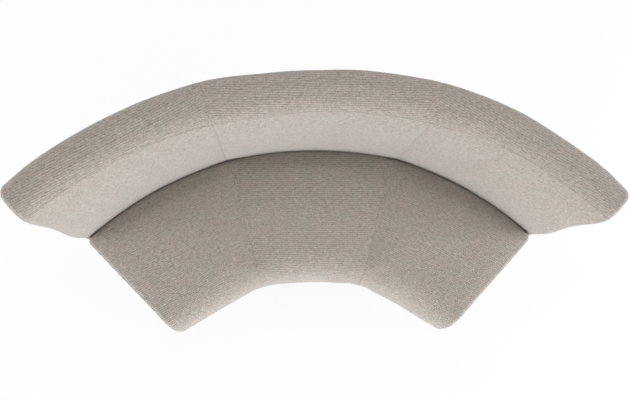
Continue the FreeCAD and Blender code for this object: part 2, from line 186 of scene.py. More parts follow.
# Boards under the cloth, and how far the cloth stays in front of them
back_board_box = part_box("back_outer_panel_centre")
front_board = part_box("seat_front_rail_centre")[0].y - curve_centre.y
back_board = back_board_box[1].y - curve_centre.y
back_board_top = back_board_box[1].z
board_cover = 4 * MM
board_softness = 1.5 * MM
board_fade_share = 1.5


# Profiles, in the radial plane: radius from the arc centre, and height

def rounded_chain(corners, arc_steps, edge_steps, side):
    """Points along an open chain of corners (radius, height, rounding, bulge of the next edge).
    side is 1 where the outside lies to the right of the way that the chain goes, and -1 to the left."""
    flat = [np.array(corner[:2]) for corner in corners]
    arcs = []
    for i, corner in enumerate(corners):
        if corner[2] and 0 < i < len(corners) - 1:
            arcs.append(corner_arc(flat[i - 1], flat[i], flat[i + 1], corner[2], arc_steps[i]))
        else:
            arcs.append([flat[i]])
    points = []
    for i, arc in enumerate(arcs[:-1]):
        points += arc
        points += edge_points(arc[-1], arcs[i + 1][0], corners[i][3], edge_steps[i], side)
    points += arcs[-1]
    return np.array(points)


def edge_points(start, end, bulge, steps, side):
    """The points between two ends of an edge, closer together near both, on a bulge that is highest in the
    middle."""
    along = end - start
    outward = side * np.array((along[1], -along[0])) / np.linalg.norm(along)
    points = []
    for k in range(1, steps):
        even = k / steps
        eased = 0.5 - 0.5 * math.cos(math.pi * even)
        share = 0.5 * eased + 0.5 * even
        points.append(start + along * share + outward * bulge * 4 * share * (1 - share))
    return points


def corner_arc(before, corner, after, radius, steps):
    """The points of the arc that rounds a corner, with its two ends."""
    to_before = (before - corner) / np.linalg.norm(before - corner)
    to_after = (after - corner) / np.linalg.norm(after - corner)
    half = math.acos(np.clip(to_before @ to_after, -1, 1)) / 2
    middle = to_before + to_after
    centre = corner + middle / np.linalg.norm(middle) * radius / math.sin(half)
    start = corner + to_before * radius / math.tan(half) - centre
    end = corner + to_after * radius / math.tan(half) - centre
    sweep = math.pi - 2 * half
    points = []
    for k in range(steps + 1):
        share = k / steps
        weight = math.sin((1 - share) * sweep), math.sin(share * sweep)
        points.append(centre + (start * weight[0] + end * weight[1]) / math.sin(sweep))
    return points


def flattened(radius, flatness_share, angle):
    """A section's arc, drawn a little towards the chord between its two seams."""
    angle = min(abs(angle), half_angle)
    chord = radius * math.cos(half_angle) / math.cos(angle)
    return radius * (1 - flatness_share) + chord * flatness_share


def front_radius(angle, is_end):
    """The seat's front line: a straight chord, eased into the next section's chord at a seam."""
    turn = min(abs(angle), half_angle)
    chord = seat_front_distance / math.cos(turn)
    centre = (seat_front_distance - front_seam_radius) / math.cos(half_angle)
    eased_from = math.atan(centre * math.sin(half_angle) / seat_front_distance)
    if is_end or turn <= eased_from:
        return chord
    beside = centre * math.sin(half_angle - turn)
    return centre * math.cos(half_angle - turn) + math.sqrt(front_seam_radius ** 2 - beside ** 2)


def drift(place, shares):
    """A smooth curve through pairs of place and value."""
    places, values = zip(*shares)
    index = int(np.clip(np.searchsorted(places, place) - 1, 0, len(places) - 2))
    share = np.clip((place - places[index]) / (places[index + 1] - places[index]), 0, 1)
    share = share * share * (3 - 2 * share)
    return values[index] + (values[index + 1] - values[index]) * share


def edge_near_end(angle, is_end, edge, edge_at_end):
    """A size that changes towards a free end, such as a long edge's rounding, which grows there so that the
    end's own rounding fits inside it."""
    if not is_end:
        return edge
    distance = (half_angle - abs(angle)) * crease_radius
    return edge + (edge_at_end - edge) * math.exp(-(distance / end_edge_reach) ** 2)


def crown_share(angle):
    """A crown is full in a section's middle, and lower at its two ends."""
    return 1 - (1 - seat_end_crown_share) * min(abs(angle) / half_angle, 1) ** 2


# Steps round each corner and along each edge of the two profiles
HEM_ARC_STEPS = 4
SEAT_ARC_STEPS = (0, 8, 26, HEM_ARC_STEPS, 0)
SEAT_EDGE_STEPS = (10, 60, 24, 4)
BACK_ARC_STEPS = (0, 0, 10, 18, 8, HEM_ARC_STEPS, 0)
BACK_EDGE_STEPS = (10, 34, 3, 8, 50, 4)


def chain_index(arc_steps, edge_steps, corner, share):
    """The chain's point at a share of the way round a corner's arc."""
    index = sum(arc_steps[:corner]) + sum(edge_steps[:corner])
    return index + round(share * arc_steps[corner])


# Points at which a seam, a fold or the hem lies, and the number of points in all
SEAT_REAR_POINT = chain_index(SEAT_ARC_STEPS, SEAT_EDGE_STEPS, 1, 0.5)
SEAT_HEM = chain_index(SEAT_ARC_STEPS, SEAT_EDGE_STEPS, 3, 0)
SEAT_POINTS = chain_index(SEAT_ARC_STEPS, SEAT_EDGE_STEPS, 4, 0) + 1
BACK_CREASE = chain_index(BACK_ARC_STEPS, BACK_EDGE_STEPS, 1, 0)
BACK_INNER_SEAM = chain_index(BACK_ARC_STEPS, BACK_EDGE_STEPS, 3, 0.3)
BACK_OUTER_SEAM = chain_index(BACK_ARC_STEPS, BACK_EDGE_STEPS, 4, 0.5)
BACK_HEM = chain_index(BACK_ARC_STEPS, BACK_EDGE_STEPS, 5, 0)
BACK_POINTS = chain_index(BACK_ARC_STEPS, BACK_EDGE_STEPS, 6, 0) + 1


def seat_chain(angle, is_end, place):
    """The seat's profile: up its rear, over its top and front roll, down its front and in under the frame."""
    front = front_radius(angle, is_end) + line_drift * drift(place, FRONT_DRIFT_SHARES)
    rear_top = flattened(crease_radius, crease_flatness_share, angle)
    rear_top -= crease_gap * drift(place, CREASE_GAP_SHARES)
    rear_top += line_drift * drift(place, CREASE_DRIFT_SHARES)
    rear_bottom = rear_top - (seat_height - hem_height) * lean_slope
    rear_edge = edge_near_end(angle, is_end, seat_rear_edge, end_seat_rear_edge)
    board = front_board / math.cos(angle)
    foot = min(front + front_tuck, board - board_cover)
    corners = [
        (rear_bottom, hem_height, 0, 0),
        (rear_top, seat_height, rear_edge, seat_crown * crown_share(angle)),
        (front, seat_height, front_roll, front_bulge),
        (foot, hem_height, hem_edge, 0),
        (board + hem_overlap, hem_height, 0, 0),
    ]
    return rounded_chain(corners, SEAT_ARC_STEPS, SEAT_EDGE_STEPS, 1)


def back_chain(angle, is_end, place):
    """The back's profile: up its face, over its top, down its outside and in under the frame."""
    crease = flattened(crease_radius, crease_flatness_share, angle)
    crease += line_drift * drift(place, CREASE_DRIFT_SHARES)
    fold = crease_radius + (back_height - seat_height) * lean_slope
    fold = flattened(fold, crease_flatness_share, angle) + line_drift * drift(place, FOLD_DRIFT_SHARES)
    brow = fold - brow_drop * lean_slope
    even_outer = flattened(back_radius, back_flatness_share, angle)
    outer = even_outer + line_drift * drift(place, OUTER_DRIFT_SHARES)
    foot = even_outer - (back_height - hem_height) * lean_slope
    board_foot = back_board - (back_board_top - hem_height) * lean_slope
    top_crown = edge_near_end(angle, is_end, back_top_crown, 0)
    outer_edge = edge_near_end(angle, is_end, back_outer_edge, end_back_outer_edge)
    corners = [
        (crease - (seat_height - hem_height) * lean_slope, hem_height, 0, 0),
        (crease, seat_height, 0, back_face_crown * crown_share(angle)),
        (brow, back_height - brow_drop, brow_rounding, 0),
        (fold + brow_lean, back_height, back_inner_edge, top_crown),
        (outer, back_height, outer_edge, back_outer_crown),
        (foot, hem_height, hem_edge, 0),
        (board_foot - hem_overlap, hem_height, 0, 0),
    ]
    points = rounded_chain(corners, BACK_ARC_STEPS, BACK_EDGE_STEPS, -1)
    face = slice(BACK_EDGE_STEPS[0], BACK_INNER_SEAM)
    points[face, 0] -= lumbar_depth * np.exp(-((points[face, 1] - lumbar_height) / lumbar_reach) ** 2)
    outside = slice(BACK_OUTER_SEAM, BACK_HEM)
    points[outside, 0] = over_back_board(points[outside], edge_near_end(angle, is_end, 0, back_thickness))
    return points


def over_back_board(points, board_retreat):
    """The outer face's radius, kept clear of the board under it, with a soft change between the two."""
    above = points[:, 1] - back_board_top
    board = back_board + board_cover + above * lean_slope - np.clip(above, 0, None) * board_fade_share
    board -= board_retreat
    return board + board_softness * np.logaddexp(0, (points[:, 0] - board) / board_softness)


# Stations: the angles of the profiles across a section, by their distances from a seam or a free end
NEAR_SEAM = np.array((0, 0.6, 1.2, 1.9, 2.7, 3.7, 5, 7, 9.5, 12.5, 16, 20, 25, 31, 38)) * MM
NEAR_END = np.array((0, 0.25, 0.7, 1.3, 2, 2.8, 3.6, 4.2, 4.7, 5.3, 5.8, 6.4, 7.4, 9, 11, 13.5, 16.5, 20, 24,
                     29, 34, 40)) * MM
MIDDLE_STATIONS = 44


def stations(is_left_end, is_right_end):
    """The angles of the profiles across a section: millimetres apart at a seam, wider in the middle."""
    mean_radius = (seat_front_distance + crease_radius) / 2
    angles = []
    for direction, is_end in ((-1, is_left_end), (1, is_right_end)):
        steps = NEAR_END if is_end else NEAR_SEAM
        side = half_angle - (0 if is_end else seam_gap / 2 / mean_radius)
        angles.append([direction * (side - step / mean_radius) for step in steps])
    left, right = angles
    middle = np.linspace(left[-1], right[-1], MIDDLE_STATIONS + 2)[1:-1]
    return np.array(left + list(middle) + right[::-1])


# Surfaces

def chain_normals(chain, side):
    """The outward direction at each point of a profile."""
    along = np.gradient(chain, axis=0)
    normal = side * np.column_stack((along[:, 1], -along[:, 0]))
    return normal / np.linalg.norm(normal, axis=1)[:, None]


def end_inset(rounding, distance):
    """How far a rounded end lies inside its sharp edge, at a distance from the end."""
    short = np.clip(rounding - distance, 0, None)
    return rounding - np.sqrt(rounding ** 2 - short ** 2)


def groove(depth, distance, width=groove_width):
    """The depth of a sewn line at a distance from it."""
    return depth * np.exp(-(distance / width) ** 2)


def valley(distance):
    """The depth of the padding's valley at a distance from a seam."""
    return valley_depth * np.clip(1 - distance / valley_width, 0, 1) ** 2


def wave(values, pitch, phase):
    """A slightly uneven wave, for the pull of stitches along a seam."""
    total = 0
    for pitch_share, height_share, phase_share in WAVE_SHARES:
        turn = 2 * np.pi * values / (pitch * pitch_share) + phase_share * phase
        total = total + height_share * np.sin(turn)
    return total / 2


def below_seat(points):
    """0 at the seat's top and above it, and 1 from a short way below."""
    return np.clip((seat_height - points[:, 1]) / tight_reach - 0.5, 0, 1)


def seat_end_rounding(points, normals):
    """Small on top, larger round the front and rear corners, and tight below, where the back meets it."""
    front = np.clip(-normals[:, 0], 0, 1) ** 2
    rear = np.clip(normals[:, 0], 0, 1)
    rear_corner = seat_rear_corner + (tight_edge - seat_rear_corner) * below_seat(points)
    return end_edge + (seat_corner - end_edge) * front + (rear_corner - end_edge) * rear


def back_end_rounding(points, normals):
    """Small on top, larger round the outer corner, and tight below, where the seat meets the face."""
    outer = np.clip(normals[:, 0], 0, 1) ** 2
    inner = np.clip(-normals[:, 0], 0, 1) * below_seat(points)
    return end_edge + (back_corner - end_edge) * outer + (tight_edge - end_edge) * inner


def seat_end_swell(profile, side):
    """Both free ends of the seat stand out alike, at the front corner. side, 0 for the left end and 1 for
    the right one, is not used."""
    return seat_swell * np.exp(-((profile[..., 0] - seat_front_distance) / seat_swell_reach) ** 2)


def back_end_swell(profile, side):
    """The back's free ends stand out near the seat and near the top, and are drawn in at the outer top
    corner. side is 0 for the left end and 1 for the right one."""
    height = profile[..., 1]
    low = np.exp(-((height - lumbar_height) / lumbar_reach) ** 2)
    high = np.exp(-((height - back_height + back_inner_edge) / lumbar_reach) ** 2)
    outer = np.clip((profile[..., 0] - back_radius + back_thickness) / back_thickness, 0, 1)
    return end_swell_low * low + (end_swell_high[side] * (1 - outer) - outer_draw[side] * outer) * high


# How a seat and a back are sewn. creases are the chain's points with a groove, and held those that the
# simulation keeps. A panel is a stretch of the chain, and the way that its ribs run
SEAT = SimpleNamespace(
    name="seat", chain=seat_chain, side=1, hem=SEAT_HEM,
    creases=(), groove_depth=seat_groove_depth, held=(SEAT_REAR_POINT,),
    panels=((0, SEAT_POINTS, "chord"),),
    end_rounding=seat_end_rounding, end_swell=seat_end_swell, seam_shares=SEAT_SEAM_DRIFT_SHARES,
    phase=0, phase_step=1.3)
BACK = SimpleNamespace(
    name="back", chain=back_chain, side=-1, hem=BACK_HEM,
    creases=(BACK_INNER_SEAM, BACK_OUTER_SEAM), groove_depth=back_groove_depth,
    held=(BACK_CREASE, BACK_INNER_SEAM, BACK_OUTER_SEAM),
    panels=((0, BACK_INNER_SEAM, "curve"), (BACK_INNER_SEAM, BACK_OUTER_SEAM, "chord"),
            (BACK_OUTER_SEAM, BACK_POINTS, "curve")),
    end_rounding=back_end_rounding, end_swell=back_end_swell, seam_shares=BACK_SEAM_DRIFT_SHARES,
    phase=2.2, phase_step=1)


class Cushion:
    """The sewn cloth of one section's seat or back, as a grid of stations by chain points."""

    def __init__(self, kind, section):
        self.kind = kind
        self.name = f"{kind.name}_upholstery_{SECTIONS[section]}"
        self.ends = (section == 0, section == len(SECTIONS) - 1)
        self.angles = stations(*self.ends)
        self.turn = section_angle * (section - 1)
        self.phase = kind.phase + kind.phase_step * section
        self.cap_end = kind.hem + HEM_ARC_STEPS // 2 + 1
        profiles, arcs = zip(*(self.profile_at(angle) for angle in self.angles))
        self.profiles = np.array(profiles)
        self.arc = np.array(arcs)

    def profile_at(self, angle):
        """The profile at an angle, with its seams and its rounded end, and each point's length along it."""
        kind = self.kind
        is_end = self.ends[0] if angle < 0 else self.ends[1]
        points = kind.chain(angle, is_end, (angle + self.turn) / section_angle)
        normals = chain_normals(points, kind.side)
        steps = np.linalg.norm(np.diff(points, axis=0), axis=1)
        arc = np.concatenate(([0], np.cumsum(steps)))
        depth = self.depth_at(angle, points, normals, arc)
        inset = normals * depth[:, None]
        inset[:, 1] *= np.clip((points[:, 1] - hem_height) / base_reach, 0, 1)
        under = (arc[kind.hem:] - arc[kind.hem]) / (arc[-1] - arc[kind.hem])
        inset[kind.hem:] = inset[kind.hem] * (1 - under)[:, None]
        return points - inset, arc

    def depth_at(self, angle, points, normals, arc):
        """How deep the cloth lies under its even form: at a rounded end, in a seam and along a crease."""
        kind = self.kind
        rounding = kind.end_rounding(points, normals)
        depth = np.zeros(len(points))
        for direction, is_end in zip((-1, 1), self.ends):
            distance = (half_angle - direction * angle) * points[:, 0]
            if is_end:
                depth += end_inset(rounding, distance)
                depth += groove(end_groove_depth, distance - end_seam_distance, end_groove_width)
            else:
                depth += valley(distance) + groove(kind.groove_depth, distance)
                pull = np.exp(-(distance / pucker_reach) ** 2)
                depth += pucker_height * pull * wave(arc, pucker_pitch, self.phase + direction)
        for crease in kind.creases:
            depth += groove(kind.groove_depth, arc - arc[crease])
        return depth

    def place(self, profile, angles):
        """Radius and height at an angle, as points of the bench."""
        angles = np.broadcast_to(angles, profile.shape[:-1])
        turn = angles + self.turn
        shares = [drift(value, self.kind.seam_shares) for value in turn.ravel() / section_angle]
        turn = turn + seam_drift * np.array(shares).reshape(turn.shape)
        for side, direction in enumerate((-1, 1)):
            if self.ends[side]:
                distance = (half_angle - direction * angles) * profile[..., 0]
                near = np.exp(-(distance / end_swell_reach) ** 2)
                turn = turn + direction * near * self.kind.end_swell(profile, side) / profile[..., 0]
        x = profile[..., 0] * np.sin(turn)
        y = profile[..., 0] * np.cos(turn)
        return np.stack((x + curve_centre.x, y + curve_centre.y, profile[..., 1]), axis=-1)


def weave_coordinates(cushion, points):
    """Two lengths on the cloth: along its ribs, and across them. Ribs on level panels run straight along
    the section's chord, and on standing panels they follow the curve."""
    rows, columns = points.shape[:2]
    turn = cushion.turn
    local = points - np.array(curve_centre)
    across = local[..., 0] * math.cos(turn) - local[..., 1] * math.sin(turn)
    forward = local[..., 0] * math.sin(turn) + local[..., 1] * math.cos(turn)
    weave = np.zeros(points.shape)
    steps = np.hypot(np.diff(forward, axis=1), np.diff(points[..., 2], axis=1))
    rolled = np.concatenate((np.zeros((rows, 1)), np.cumsum(steps, axis=1)), axis=1)
    radius = cushion.profiles[..., 0]
    for start, end, way_of_ribs in cushion.kind.panels:
        cut = slice(start, end)
        if way_of_ribs == "chord":
            middle = (start + end) // 2
            way = np.sign(forward[0, middle + 1] - forward[0, middle])
            origin = forward[:, middle] - way * rolled[:, middle]
            weave[:, cut, 0] = across[:, cut]
            weave[:, cut, 1] = origin[:, None] + way * rolled[:, cut]
        else:
            mean = radius[:, cut].mean()
            weave[:, cut, 0] = (cushion.angles * mean)[:, None]
            weave[:, cut, 1] = cushion.arc[:, cut]
    return weave


# Simulation

def grid_faces(rows, columns):
    """The four-sided faces of a grid whose points are numbered row by row."""
    faces = []
    for i in range(rows - 1):
        for j in range(columns - 1):
            a = i * columns + j
            faces.append((a, a + 1, a + columns + 1, a + columns))
    return faces


def resampled(grid, rows, columns):
    """A grid read between its own points, at uneven row and column numbers."""
    for axis, numbers in ((0, rows), (1, columns)):
        low = np.clip(np.floor(numbers).astype(int), 0, grid.shape[axis] - 2)
        share = (numbers - low).reshape((-1, 1, 1) if axis == 0 else (1, -1, 1))
        grid = np.take(grid, low, axis) * (1 - share) + np.take(grid, low + 1, axis) * share
    return grid


def swollen(cushion, points):
    """How far a cloth simulation moves each point: an even, coarser copy of the grid swells over its
    padding, sewn down along its edges."""
    arc = cushion.arc.mean(axis=0)
    width = abs(cushion.angles[-1] - cushion.angles[0]) * cushion.profiles[..., 0].mean()
    counts = round(width / simulation_step), round(arc[-1] / simulation_step)
    even_angles = np.linspace(cushion.angles[0], cushion.angles[-1], counts[0])
    even_arc = np.linspace(0, arc[-1], counts[1])
    rows = np.interp(even_angles, cushion.angles, np.arange(len(cushion.angles)))
    columns = np.interp(even_arc, arc, np.arange(len(arc)))
    start = resampled(points, rows, columns)
    fine_rows = np.interp(cushion.angles, even_angles, np.arange(counts[0]))
    fine_columns = np.interp(arc, even_arc, np.arange(counts[1]))
    sewn = [round(fine_columns[point]) for point in cushion.kind.held]
    move = simulated(start, cushion.kind.side, sewn) - start
    length = np.linalg.norm(move, axis=-1, keepdims=True)
    move *= simulation_cap / np.maximum(length, simulation_cap)
    return resampled(move, fine_rows, fine_columns)


def simulated(start, side, sewn):
    """A grid's points after the simulation. Its first and last row, its two outer columns on either side and
    its sewn columns stay."""
    rows, columns = start.shape[:2]
    mesh = bpy.data.meshes.new("simulated")
    faces = grid_faces(rows, columns)
    if side < 0:
        faces = [face[::-1] for face in faces]
    mesh.from_pydata(start.reshape(-1, 3).tolist(), [], faces)
    thing = bpy.data.objects.new("simulated", mesh)
    bpy.context.scene.collection.objects.link(thing)
    numbers = np.arange(rows * columns).reshape(rows, columns)
    lines = [0, 1, columns - 2, columns - 1] + sewn
    edges = np.concatenate((numbers[0], numbers[-1], numbers[:, lines].ravel()))
    held = thing.vertex_groups.new(name="held")
    held.add([int(number) for number in edges], 1.0, "REPLACE")
    set_cloth(thing.modifiers.new("cloth", "CLOTH").settings, held.name)
    for number in range(1, SIMULATION_FRAMES + 1):
        bpy.context.scene.frame_set(number)
    result = thing.evaluated_get(bpy.context.evaluated_depsgraph_get()).data
    end = np.empty(start.size)
    result.vertices.foreach_get("co", end)
    bpy.context.scene.frame_set(1)
    bpy.data.objects.remove(thing)
    return end.reshape(start.shape)


def set_cloth(settings, held):
    """A stiff cloth that a slight pressure blows up, pinned at the held points."""
    settings.quality = SIMULATION_QUALITY
    settings.mass = CLOTH_MASS
    settings.tension_stiffness = CLOTH_STIFFNESS
    settings.compression_stiffness = CLOTH_STIFFNESS / 2
    settings.shear_stiffness = CLOTH_STIFFNESS / 4
    settings.bending_stiffness = CLOTH_BENDING
    settings.shrink_min = -cloth_ease_share
    settings.use_pressure = True
    settings.uniform_pressure_force = SIMULATION_PRESSURE
    settings.effector_weights.gravity = 0
    settings.vertex_group_mass = held


# Meshes

class Shell:
    """The points, weave coordinates and faces of a cushion's mesh, while it grows."""

    def __init__(self, points, weave):
        self.columns = points.shape[1]
        self.points = list(points.reshape(-1, 3))
        self.weave = list(weave.reshape(-1, 3))
        self.faces = grid_faces(*points.shape[:2])

    def add(self, points, weave):
        """New points, and their numbers."""
        start = len(self.points)
        self.points.extend(points)
        self.weave.extend(weave)
        return list(range(start, len(self.points)))

    def bridge(self, first, second):
        """Faces between two lines of points."""
        for j in range(len(first) - 1):
            self.faces.append((first[j], first[j + 1], second[j + 1], second[j]))


def build(cushion):
    """The mesh: the grid, and a crowned end panel at each free end."""
    points = cushion.place(cushion.profiles, cushion.angles[:, None])
    points = points + swollen(cushion, points)
    shell = Shell(points, weave_coordinates(cushion, points))
    for row, is_end, direction in ((0, cushion.ends[0], -1), (len(points) - 1, cushion.ends[1], 1)):
        if is_end:
            add_end_panel(cushion, row, direction, shell)
    mesh = bpy.data.meshes.new(cushion.name)
    mesh.from_pydata([tuple(point) for point in shell.points], [], shell.faces)
    attribute = mesh.attributes.new("weave", "FLOAT_VECTOR", "POINT")
    attribute.data.foreach_set("vector", np.array(shell.weave, np.float32).ravel())
    piece = bpy.data.objects.new(cushion.name, mesh)
    bpy.context.scene.collection.objects.link(piece)
    tidy_normals(mesh)
    return piece


def add_end_panel(cushion, row, direction, shell):
    """Rings from the end profile to the middle of its lower edge, and a hem that turns in under the frame."""
    profile = cushion.profiles[row, :cushion.cap_end]
    pole = np.array(((profile[0, 0] + profile[-1, 0]) / 2, hem_height))
    spokes = one_way_spokes(profile - pole)
    previous = [row * shell.columns + j for j in range(cushion.cap_end)]
    near_edge, far_edge = [previous[0]], [previous[-1]]
    for ring in range(1, CAP_RINGS):
        inner = pole + spokes * (1 - ring / CAP_RINGS)
        angle = cushion.angles[row] + direction * panel_bulge(profile, inner) / inner[:, 0]
        current = shell.add(cushion.place(inner, angle), np.column_stack((inner, np.zeros(len(inner)))))
        shell.bridge(previous, current)
        previous = current
        near_edge.append(current[0])
        far_edge.append(current[-1])
    tip = shell.add([cushion.place(pole, cushion.angles[row])], [np.append(pole, 0)])[0]
    for j in range(len(previous) - 1):
        shell.faces.append((previous[j], previous[j + 1], tip))
    add_end_hem(cushion, direction, near_edge + [tip] + far_edge[::-1], shell)


def one_way_spokes(reach):
    """The ways from the pole to the outline, turning one way only, so that no ring folds over itself."""
    way = np.sign(reach[-1, 0])
    least = np.arange(len(reach)) * spoke_turn
    angle = np.maximum.accumulate(np.arctan2(way * reach[:, 0], reach[:, 1]) - least) + least
    length = np.hypot(reach[:, 0], reach[:, 1])
    return np.column_stack((way * np.sin(angle), np.cos(angle))) * length[:, None]


def panel_bulge(profile, points):
    """How far the end panel stands out at points inside its outline: most in the middle, and not at all at
    the edge."""
    top = int(np.argmax(profile[:, 1]))
    first_side = np.interp(points[:, 1], profile[:top + 1, 1], profile[:top + 1, 0])
    last_side = np.interp(points[:, 1], profile[:top - 1:-1, 1], profile[:top - 1:-1, 0])
    width = last_side - first_side
    across = np.clip((points[:, 0] - first_side) / np.where(abs(width) < MM, MM, width), 0, 1)
    up = np.clip((points[:, 1] - hem_height) / (profile[top, 1] - hem_height), 0, 1)
    level = 1 - (2 * across - 1) ** ACROSS_ROUNDNESS
    return end_panel_crown * level * (1 - (1 - up) ** UP_ROUNDNESS) * (1 - up ** UP_ROUNDNESS)


def add_end_hem(cushion, direction, edge, shell):
    """The strip of cloth that turns in under the frame along an end panel's lower edge."""
    turn = cushion.turn + direction * half_angle
    inward = -direction * end_hem * np.array((math.cos(turn), -math.sin(turn), 0))
    points = [shell.points[number] + inward for number in edge]
    weave = [shell.weave[number] - np.array((0, end_hem, 0)) for number in edge]
    shell.bridge(edge, shell.add(points, weave))


def tidy_normals(mesh):
    """All faces turned outwards and shaded smooth."""
    work = bmesh.new()
    work.from_mesh(mesh)
    bmesh.ops.recalc_face_normals(work, faces=work.faces)
    top = max(work.faces, key=lambda face: face.calc_center_median().z)
    if top.normal.z < 0:
        bmesh.ops.reverse_faces(work, faces=work.faces)
    work.to_mesh(mesh)
    work.free()
    for polygon in mesh.polygons:
        polygon.use_smooth = True


def thicken(piece):
    """The cloth's own thickness, laid inwards."""
    shell = piece.modifiers.new("cloth", "SOLIDIFY")
    shell.thickness = cloth_thickness
    shell.offset = -1


def upholster():
    """Six cushions of cloth, each in the place of a cover and its foam."""
    pieces = []
    for section, name in enumerate(SECTIONS):
        for kind in (SEAT, BACK):
            piece = build(Cushion(kind, section))
            thicken(piece)
            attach(piece, "bench")
            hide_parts(f"{kind.name}_cover_{name}", f"{kind.name}_foam_{name}")
            pieces.append((kind, piece))
    return pieces


# Materials

class Nodes:
    """The node tree of a new material, or of a world, with short calls to add and join nodes."""

    def __init__(self, name, world=None):
        self.material = world or bpy.data.materials.new(name)
        self.material.use_nodes = True
        self.tree = self.material.node_tree
        self.shader = self.tree.nodes["Background" if world else "Principled BSDF"]

    def add(self, kind, **settings):
        """A new node with its settings."""
        node = self.tree.nodes.new(kind)
        for key, value in settings.items():
            setattr(node, key, value)
        return node

    def join(self, source, target):
        self.tree.links.new(source, target)

    def value(self, source, socket):
        """A number set on the socket, or another node's output joined to it."""
        if isinstance(source, (int, float)):
            socket.default_value = source
        else:
            self.join(source, socket)

    def math(self, operation, first, second=0.0, third=0.0):
        """The result of a sum on numbers or on other nodes' outputs."""
        node = self.add("ShaderNodeMath", operation=operation)
        for source, socket in zip((first, second, third), node.inputs):
            self.value(source, socket)
        return node.outputs[0]

    def stripes(self, length, pitch):
        """A wave from 0 to 1 along a length."""
        angle = self.math("MULTIPLY", length, 2 * math.pi / pitch)
        return self.math("MULTIPLY_ADD", self.math("SINE", angle), 0.5, 0.5)

    def noise(self, vector, scale, detail, roughness):
        """A noise from 0 to 1."""
        node = self.add("ShaderNodeTexNoise")
        self.join(vector, node.inputs["Vector"])
        node.inputs["Scale"].default_value = scale
        node.inputs["Detail"].default_value = detail
        node.inputs["Roughness"].default_value = roughness
        return node.outputs["Fac"]

    def stretched(self, vector, scale):
        """A vector with each of its lengths scaled."""
        node = self.add("ShaderNodeMapping")
        self.join(vector, node.inputs["Vector"])
        node.inputs["Scale"].default_value = scale
        return node.outputs[0]

    def mix(self, share, first, second, **settings):
        """Two colours mixed. Each is a colour, or another node's output."""
        node = self.add("ShaderNodeMix", data_type="RGBA", **settings)
        self.value(share, node.inputs["Factor"])
        for colour, socket in ((first, node.inputs["A"]), (second, node.inputs["B"])):
            if isinstance(colour, tuple):
                socket.default_value = (*colour, 1)
            else:
                self.join(colour, socket)
        return node.outputs["Result"]

    def bump(self, height, strength, distance):
        """A normal that follows a height."""
        node = self.add("ShaderNodeBump")
        self.join(height, node.inputs["Height"])
        node.inputs["Strength"].default_value = strength
        node.inputs["Distance"].default_value = distance
        return node.outputs["Normal"]


# Cloth: its yarns, and its noises, each with its patterns per metre, its detail and its roughness. The slubs'
# noise has its patterns per metre along a rib and across it in its stretch
rib_pitch = 6.8 * MM
thread_pitch = 2.4 * MM
rib_wander = 2.6 * MM
yarn_relief = 0.9 * MM
WANDER_NOISE = (38, 2, 0.5)
SLUB_STRETCH = (62, 175, 0)
SLUB_NOISE = (1, 3, 0.6)
FLECK_NOISE = (210, 2, 0.55)
FLUFF_NOISE = (900, 3, 0.7)
PATCH_NOISE = (11, 3, 0.5)
BLUSH_NOISE = (27, 2, 0.5)
RELIEF_STRENGTH = 0.6

# Cloth: how much each layer adds to its tone and to its height
TONE_SHARES = {"rib": 0.26, "slubs": 0.8, "flecks": 1.2, "thread": 0.1, "fluff": 0.5, "patches": 0.07}
RELIEF_SHARES = {"rib": 0.7, "thread": 0.25, "fluff": 0.5}

# Cloth: its colours, light and dark, and the two tints that it drifts between
SEAT_COLOURS = ((0.56, 0.495, 0.435), (0.20, 0.174, 0.148))
BACK_COLOURS = ((0.57, 0.505, 0.445), (0.205, 0.178, 0.152))
TINTS = ((0.965, 1.0, 0.985), (1.035, 0.985, 1.0))
TINT_CONTRAST = 3.0
CLOTH_SHADER = {"Roughness": 0.92, "Specular IOR Level": 0.15, "Sheen Weight": 0.5, "Sheen Roughness": 0.5,
                "Sheen Tint": (0.8, 0.9, 1.0, 1)}


def cloth_material(name, light, dark):
    """Chenille with ribs: thick uneven yarns in rows, crossed by fine binding threads."""
    nodes = Nodes(name)
    weave = nodes.add("ShaderNodeAttribute", attribute_name="weave").outputs["Vector"]
    split = nodes.add("ShaderNodeSeparateXYZ")
    nodes.join(weave, split.inputs[0])
    place = nodes.add("ShaderNodeTexCoord").outputs["Object"]
    wander = nodes.math("MULTIPLY", nodes.noise(place, *WANDER_NOISE), rib_wander)
    layers = {
        "rib": nodes.stripes(nodes.math("ADD", split.outputs["Y"], wander), rib_pitch),
        "thread": nodes.stripes(split.outputs["X"], thread_pitch),
        "slubs": nodes.noise(nodes.stretched(weave, SLUB_STRETCH), *SLUB_NOISE),
        "flecks": nodes.noise(place, *FLECK_NOISE),
        "fluff": nodes.noise(place, *FLUFF_NOISE),
        "patches": nodes.noise(place, *PATCH_NOISE),
    }
    tone = 0.5
    for layer, share in TONE_SHARES.items():
        tone = nodes.math("ADD", tone, nodes.math("MULTIPLY_ADD", layers[layer], share, -share / 2))
    blush = nodes.noise(place, *BLUSH_NOISE)
    blush = nodes.math("MULTIPLY_ADD", blush, TINT_CONTRAST, 0.5 - TINT_CONTRAST / 2)
    colour = nodes.mix(1.0, nodes.mix(tone, dark, light), nodes.mix(blush, *TINTS), blend_type="MULTIPLY")
    nodes.join(colour, nodes.shader.inputs["Base Color"])
    height = layers["slubs"]
    for layer, share in RELIEF_SHARES.items():
        height = nodes.math("MULTIPLY_ADD", layers[layer], share, height)
    nodes.join(nodes.bump(height, RELIEF_STRENGTH, yarn_relief), nodes.shader.inputs["Normal"])
    for socket, value in CLOTH_SHADER.items():
        nodes.shader.inputs[socket].default_value = value
    return nodes.material


